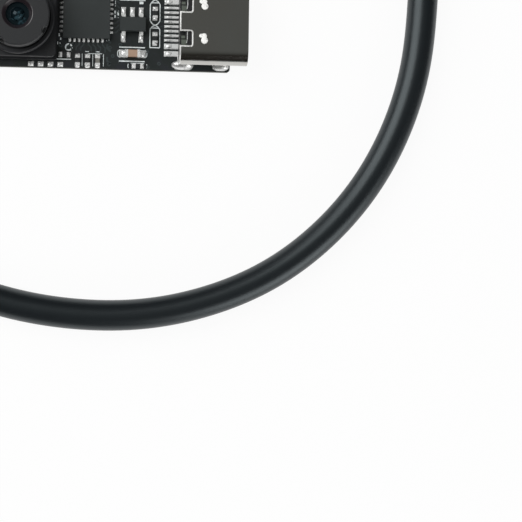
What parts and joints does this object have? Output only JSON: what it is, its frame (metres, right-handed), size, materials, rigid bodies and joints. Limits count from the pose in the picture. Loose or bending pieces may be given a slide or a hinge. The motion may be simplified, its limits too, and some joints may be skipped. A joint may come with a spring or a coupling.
{
  "type": "camera module",
  "caption": "Narrow circuit board with a focusable lens block, control chips and a reversible socket, with its thin wired lead and plug.",
  "frame": {"origin": "middle of the board and its socket shell together, on the board's underside, without the lead", "axes": "+X along the board towards the socket's mouth, +Y towards the board's rear edge, +Z out of the lens"},
  "size_m": [0.0887, 0.0883, 0.0078],
  "materials": {
    "board": "black solder mask, satin",
    "tin": "tinned copper, bright",
    "lens_block": "matt black moulding",
    "glass": "coated glass",
    "chip": "matt grey-black moulding",
    "silicon": "dark polished die",
    "ceramic": "tan fired ceramic",
    "steel": "drawn stainless steel, satin",
    "black_plastic": "black moulding",
    "gold": "gold-flashed contact",
    "ivory_plastic": "natural ivory moulding",
    "wire_red": "soft insulation",
    "wire_white": "soft insulation",
    "wire_green": "soft insulation",
    "wire_black": "soft insulation",
    "jacket": "smooth black jacket, satin",
    "overmould": "black overmould, matt",
    "white_plastic": "white moulding"
  },
  "bodies": {
    "root": {"circuit_board": "board", "board_pads": "tin", "lens_holder": "lens_block", "lens_barrel": "lens_block", "front_lens": "glass", "rear_lens": "glass", "lens_retainer": "lens_block", "infrared_filter": "glass", "image_sensor": "silicon", "controller_chip": "chip", "controller_leads": "tin", "regulator_body": "chip", "regulator_leads": "tin", "capacitor_bodies": "ceramic", "capacitor_ends": "tin", "chip_bodies": "chip", "chip_ends": "tin", "socket_shell": "steel", "socket_insulator": "black_plastic", "socket_contacts": "gold", "socket_mid_plate": "steel", "shell_solder": "tin", "header_housing": "ivory_plastic", "header_pins": "tin", "header_clips": "tin", "lead_connector": "ivory_plastic", "crimp_terminals": "tin", "wire_red": "wire_red", "wire_white": "wire_white", "wire_green": "wire_green", "wire_black": "wire_black", "shrink_sleeve": "overmould", "lead_run": "jacket", "lead_coil": "jacket", "lead_tail": "jacket", "coil_tie": "overmould", "plug_relief": "overmould", "plug_grip": "overmould", "plug_shell": "steel", "plug_tongue": "white_plastic", "plug_contacts": "gold"}
  },
  "joints": []
}
